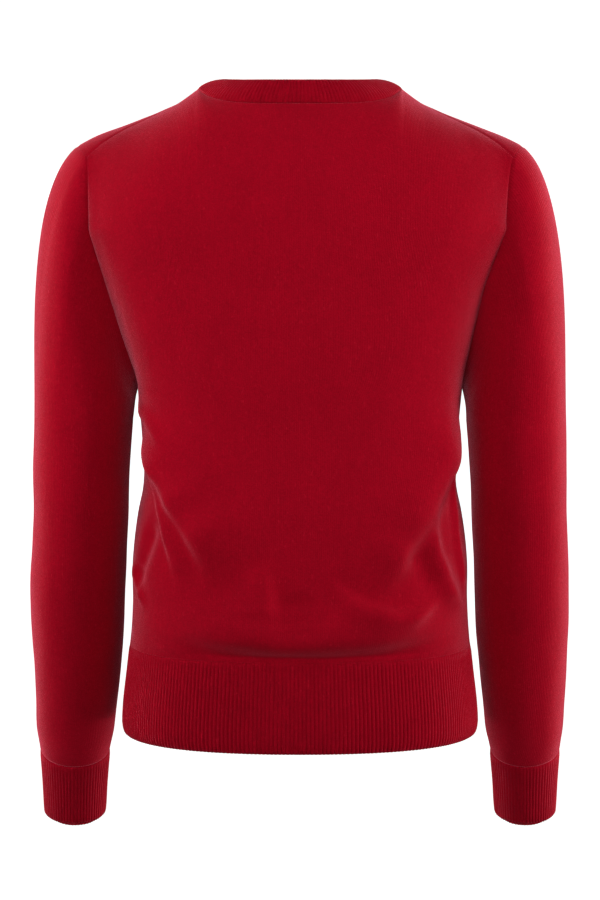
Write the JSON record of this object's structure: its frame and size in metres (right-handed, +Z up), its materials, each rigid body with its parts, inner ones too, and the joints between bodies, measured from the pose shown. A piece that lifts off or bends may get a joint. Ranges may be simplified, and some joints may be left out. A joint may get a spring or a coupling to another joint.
{
  "type": "crewneck sweater",
  "caption": "Fitted crewneck sweater in fine red cashmere jersey with long set-in sleeves and ribbed neckband, hem and cuffs, filled out as worn.",
  "frame": {"origin": "midway between the two high points of the shoulders, where the shoulder seams meet the neck, on the mount wearer_shoulders", "axes": "+Z up, +Y the way the wearer faces, +X towards the wearer's right arm"},
  "size_m": [0.4814, 0.2225, 0.6777],
  "materials": {
    "jersey_knit": "fine jersey with a soft brushed nap",
    "rib_knit": "fine ribbed knit, soft"
  },
  "bodies": {
    "root": {"back_panel": "jersey_knit", "front_panel": "jersey_knit", "sleeve_left": "jersey_knit", "sleeve_right": "jersey_knit", "neckband": "rib_knit", "hem_rib_back": "rib_knit", "hem_rib_front": "rib_knit", "cuff_left": "rib_knit", "cuff_right": "rib_knit"}
  },
  "joints": []
}
